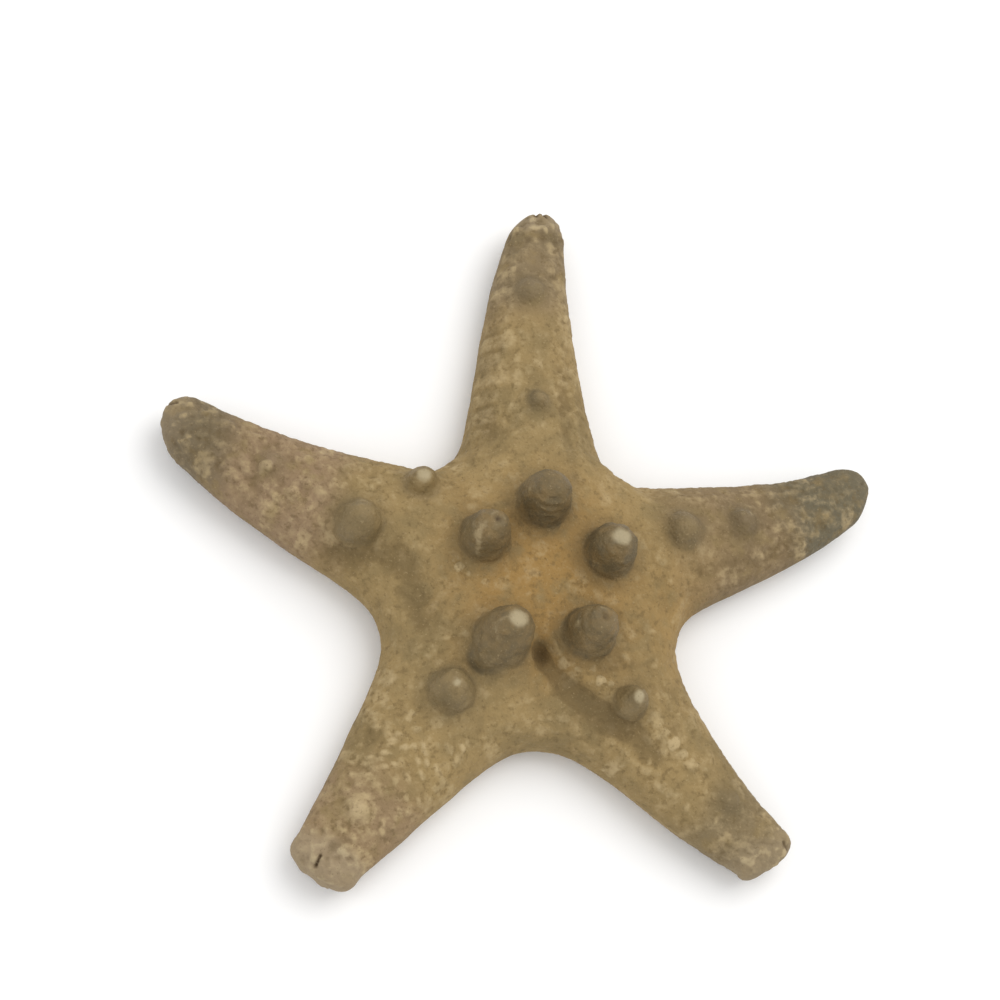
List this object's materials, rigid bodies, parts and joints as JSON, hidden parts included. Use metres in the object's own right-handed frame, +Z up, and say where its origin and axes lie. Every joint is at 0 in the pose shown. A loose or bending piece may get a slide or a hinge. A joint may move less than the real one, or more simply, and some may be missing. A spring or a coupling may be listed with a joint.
{
  "type": "dried starfish",
  "caption": "Dried knobbly starfish with tapering arms round a low domed disc, blunt horns on its back and a flat grooved underside. A beach find for display.",
  "frame": {"origin": "on the table, under the middle of the outline's box; the disc's own centre is 1.5 mm along +X and 9.4 mm along -Y from it", "axes": "+Z up from the flat underside to the horned back; +Y along the longest arm, which stands at the top of the usual view; +X to the right of that view"},
  "size_m": [0.1234, 0.122, 0.0247],
  "materials": {
    "dried_skin": "matte, finely granular, with pale worn tips"
  },
  "bodies": {
    "root": {"starfish": "dried_skin"}
  },
  "joints": []
}
